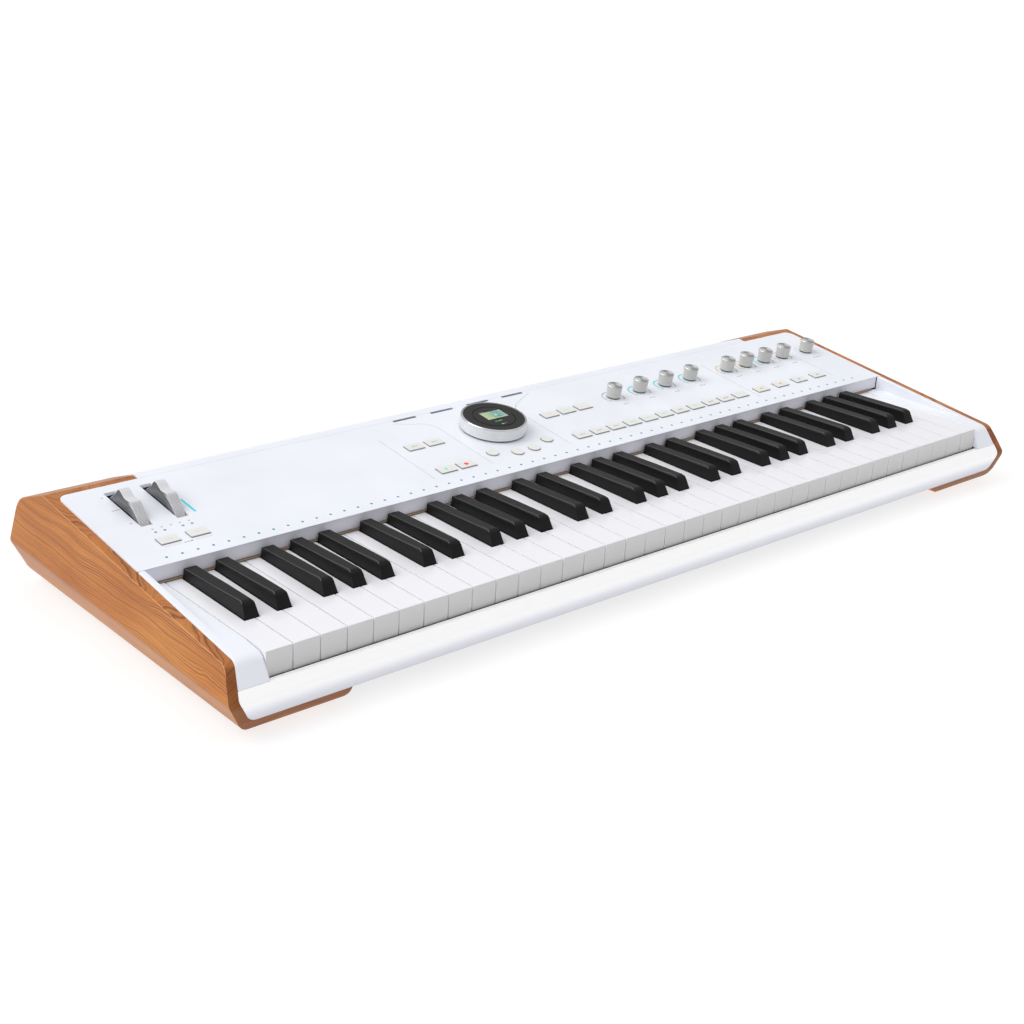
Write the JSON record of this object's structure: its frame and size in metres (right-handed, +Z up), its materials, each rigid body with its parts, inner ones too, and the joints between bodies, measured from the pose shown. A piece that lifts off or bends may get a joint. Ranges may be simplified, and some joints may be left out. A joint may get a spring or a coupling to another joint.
{
  "type": "synthesizer keyboard",
  "caption": "Stage synthesizer: full-size keys, wrap-round wooden ends, sloping white panel with jog dial, lit knobs, push buttons, and pitch and modulation wheels.",
  "frame": {"origin": "on the table, midway between the wooden ends and between the front bulge and the rear wall", "axes": "+X to the player's right along the keys, +Y away from the player, +Z up"},
  "size_m": [0.9292, 0.328, 0.0999],
  "materials": {
    "wood": "oiled",
    "shell": "satin",
    "grey_trim": "satin",
    "felt": "felt",
    "painted_steel": "powder coat",
    "rubber": "matt",
    "steel": "zinc plated",
    "board": "solder mask",
    "black_plastic": "fine grain",
    "display": "gloss",
    "lens": "lit lens",
    "wheel": "satin",
    "knob": "satin",
    "button": "satin",
    "key_white": "polished",
    "key_black": "satin"
  },
  "bodies": {
    "case": {"wood_end_left": "wood", "wood_end_right": "wood", "top_panel": "shell", "rear_cover": "shell", "front_rail": "shell", "cheek_left": "shell", "cheek_right": "shell", "fallboard": "grey_trim", "key_felts": "felt", "base_plate": "painted_steel", "feet": "rubber", "case_screws": "steel", "key_chassis": "steel", "pivot_rod": "steel", "contact_board": "board", "contact_domes": "rubber", "panel_board": "board", "main_board": "board", "socket_board": "board", "rear_sockets": "black_plastic", "wheel_bracket": "steel", "dial_core": "black_plastic", "dial_glass": "display", "key_lights": "lens", "knob_light_rings": "lens", "status_lights": "lens", "slot_inserts": "black_plastic"},
    "octave_down": {"octave_down": "button"},
    "octave_up": {"octave_up": "button"},
    "edit_buttons": {"edit_buttons": "button"},
    "transport_buttons": {"transport_buttons": "button"},
    "round_buttons": {"round_buttons": "button"},
    "bank_buttons": {"bank_buttons": "button"},
    "sound_buttons": {"sound_buttons": "button"},
    "part_buttons": {"part_buttons": "button"},
    "power_button": {"power_button": "black_plastic"},
    "pitch_wheel": {"pitch_wheel": "wheel"},
    "mod_wheel": {"mod_wheel": "wheel"},
    "jog_ring": {"jog_ring": "grey_trim"},
    "knob_1": {"knob_1": "knob"},
    "knob_2": {"knob_2": "knob"},
    "knob_3": {"knob_3": "knob"},
    "knob_4": {"knob_4": "knob"},
    "knob_5": {"knob_5": "knob"},
    "knob_6": {"knob_6": "knob"},
    "knob_7": {"knob_7": "knob"},
    "knob_8": {"knob_8": "knob"},
    "volume_knob": {"volume_knob": "knob"},
    "key_c": {"key_c": "key_white"},
    "key_c_sharp": {"key_c_sharp": "key_black"},
    "key_d": {"key_d": "key_white"},
    "key_d_sharp": {"key_d_sharp": "key_black"},
    "key_e": {"key_e": "key_white"},
    "key_f": {"key_f": "key_white"},
    "key_f_sharp": {"key_f_sharp": "key_black"},
    "key_g": {"key_g": "key_white"},
    "key_g_sharp": {"key_g_sharp": "key_black"},
    "key_a": {"key_a": "key_white"},
    "key_a_sharp": {"key_a_sharp": "key_black"},
    "key_b": {"key_b": "key_white"}
  },
  "joints": [
    {"name": "octave_down_press", "type": "slide", "parent": "case", "child": "octave_down", "axis": [0, 0.1172, -0.9931], "range_m": [0, 0.0008], "stiffness_N_per_m": 800, "springref_m": -0.0008},
    {"name": "octave_up_press", "type": "slide", "parent": "case", "child": "octave_up", "axis": [0, 0.1172, -0.9931], "range_m": [0, 0.0008], "stiffness_N_per_m": 800, "springref_m": -0.0008},
    {"name": "edit_buttons_press", "type": "slide", "parent": "case", "child": "edit_buttons", "axis": [0, 0.1172, -0.9931], "range_m": [0, 0.0008], "stiffness_N_per_m": 1600, "springref_m": -0.0008},
    {"name": "transport_buttons_press", "type": "slide", "parent": "case", "child": "transport_buttons", "axis": [0, 0.1172, -0.9931], "range_m": [0, 0.0008], "stiffness_N_per_m": 1600, "springref_m": -0.0008},
    {"name": "round_buttons_press", "type": "slide", "parent": "case", "child": "round_buttons", "axis": [0, 0.1172, -0.9931], "range_m": [0, 0.0008], "stiffness_N_per_m": 3200, "springref_m": -0.0008},
    {"name": "bank_buttons_press", "type": "slide", "parent": "case", "child": "bank_buttons", "axis": [0, 0.1172, -0.9931], "range_m": [0, 0.0008], "stiffness_N_per_m": 2400, "springref_m": -0.0008},
    {"name": "sound_buttons_press", "type": "slide", "parent": "case", "child": "sound_buttons", "axis": [0, 0.1172, -0.9931], "range_m": [0, 0.0008], "stiffness_N_per_m": 8800, "springref_m": -0.0008},
    {"name": "part_buttons_press", "type": "slide", "parent": "case", "child": "part_buttons", "axis": [0, 0.1172, -0.9931], "range_m": [0, 0.0008], "stiffness_N_per_m": 3200, "springref_m": -0.0008},
    {"name": "power_button_press", "type": "slide", "parent": "case", "child": "power_button", "axis": [0, -1, 0], "range_m": [0, 0.0015], "stiffness_N_per_m": 900, "springref_m": -0.001},
    {"name": "pitch_turn", "type": "hinge", "parent": "case", "child": "pitch_wheel", "pos_m": [-0.4032, 0.077, 0.06256], "axis": [-1, 0, 0], "range_deg": [-35, 35], "stiffness_Nm_per_rad": 0.06},
    {"name": "modulation_turn", "type": "hinge", "parent": "case", "child": "mod_wheel", "pos_m": [-0.3711, 0.077, 0.06256], "axis": [-1, 0, 0], "range_deg": [-35, 35]},
    {"name": "jog_turn", "type": "hinge", "parent": "case", "child": "jog_ring", "pos_m": [-0.0341, 0.0659, 0.08325], "axis": [0, -0.1172, 0.9931], "continuous": true},
    {"name": "knob_1_turn", "type": "hinge", "parent": "case", "child": "knob_1", "pos_m": [0.1252, 0.0701, 0.08375], "axis": [0, -0.1172, 0.9931], "continuous": true},
    {"name": "knob_2_turn", "type": "hinge", "parent": "case", "child": "knob_2", "pos_m": [0.1614, 0.0701, 0.08375], "axis": [0, -0.1172, 0.9931], "continuous": true},
    {"name": "knob_3_turn", "type": "hinge", "parent": "case", "child": "knob_3", "pos_m": [0.1976, 0.0701, 0.08375], "axis": [0, -0.1172, 0.9931], "continuous": true},
    {"name": "knob_4_turn", "type": "hinge", "parent": "case", "child": "knob_4", "pos_m": [0.2338, 0.0701, 0.08375], "axis": [0, -0.1172, 0.9931], "continuous": true},
    {"name": "knob_5_turn", "type": "hinge", "parent": "case", "child": "knob_5", "pos_m": [0.29, 0.0701, 0.08375], "axis": [0, -0.1172, 0.9931], "continuous": true},
    {"name": "knob_6_turn", "type": "hinge", "parent": "case", "child": "knob_6", "pos_m": [0.3193, 0.0701, 0.08375], "axis": [0, -0.1172, 0.9931], "continuous": true},
    {"name": "knob_7_turn", "type": "hinge", "parent": "case", "child": "knob_7", "pos_m": [0.3486, 0.0701, 0.08375], "axis": [0, -0.1172, 0.9931], "continuous": true},
    {"name": "knob_8_turn", "type": "hinge", "parent": "case", "child": "knob_8", "pos_m": [0.3779, 0.0701, 0.08375], "axis": [0, -0.1172, 0.9931], "continuous": true},
    {"name": "volume_turn", "type": "hinge", "parent": "case", "child": "volume_knob", "pos_m": [0.417, 0.0701, 0.08375], "axis": [0, -0.1172, 0.9931], "range_deg": [-150, 150]},
    {"name": "key_c_press", "type": "hinge", "parent": "case", "child": "key_c", "pos_m": [0, 0.0135, 0.053], "axis": [1, 0, 0], "range_deg": [0, 3.45], "stiffness_Nm_per_rad": 1.5, "springref_deg": -20.05},
    {"name": "key_c_sharp_press", "type": "hinge", "parent": "case", "child": "key_c_sharp", "pos_m": [0, 0.0135, 0.053], "axis": [1, 0, 0], "range_deg": [0, 3.45], "stiffness_Nm_per_rad": 1.25, "springref_deg": -20.05},
    {"name": "key_d_press", "type": "hinge", "parent": "case", "child": "key_d", "pos_m": [0, 0.0135, 0.053], "axis": [1, 0, 0], "range_deg": [0, 3.45], "stiffness_Nm_per_rad": 1.25, "springref_deg": -20.05},
    {"name": "key_d_sharp_press", "type": "hinge", "parent": "case", "child": "key_d_sharp", "pos_m": [0, 0.0135, 0.053], "axis": [1, 0, 0], "range_deg": [0, 3.45], "stiffness_Nm_per_rad": 1.25, "springref_deg": -20.05},
    {"name": "key_e_press", "type": "hinge", "parent": "case", "child": "key_e", "pos_m": [0, 0.0135, 0.053], "axis": [1, 0, 0], "range_deg": [0, 3.45], "stiffness_Nm_per_rad": 1.25, "springref_deg": -20.05},
    {"name": "key_f_press", "type": "hinge", "parent": "case", "child": "key_f", "pos_m": [0, 0.0135, 0.053], "axis": [1, 0, 0], "range_deg": [0, 3.45], "stiffness_Nm_per_rad": 1.25, "springref_deg": -20.05},
    {"name": "key_f_sharp_press", "type": "hinge", "parent": "case", "child": "key_f_sharp", "pos_m": [0, 0.0135, 0.053], "axis": [1, 0, 0], "range_deg": [0, 3.45], "stiffness_Nm_per_rad": 1.25, "springref_deg": -20.05},
    {"name": "key_g_press", "type": "hinge", "parent": "case", "child": "key_g", "pos_m": [0, 0.0135, 0.053], "axis": [1, 0, 0], "range_deg": [0, 3.45], "stiffness_Nm_per_rad": 1.25, "springref_deg": -20.05},
    {"name": "key_g_sharp_press", "type": "hinge", "parent": "case", "child": "key_g_sharp", "pos_m": [0, 0.0135, 0.053], "axis": [1, 0, 0], "range_deg": [0, 3.45], "stiffness_Nm_per_rad": 1.25, "springref_deg": -20.05},
    {"name": "key_a_press", "type": "hinge", "parent": "case", "child": "key_a", "pos_m": [0, 0.0135, 0.053], "axis": [1, 0, 0], "range_deg": [0, 3.45], "stiffness_Nm_per_rad": 1.25, "springref_deg": -20.05},
    {"name": "key_a_sharp_press", "type": "hinge", "parent": "case", "child": "key_a_sharp", "pos_m": [0, 0.0135, 0.053], "axis": [1, 0, 0], "range_deg": [0, 3.45], "stiffness_Nm_per_rad": 1.25, "springref_deg": -20.05},
    {"name": "key_b_press", "type": "hinge", "parent": "case", "child": "key_b", "pos_m": [0, 0.0135, 0.053], "axis": [1, 0, 0], "range_deg": [0, 3.45], "stiffness_Nm_per_rad": 1.25, "springref_deg": -20.05}
  ]
}
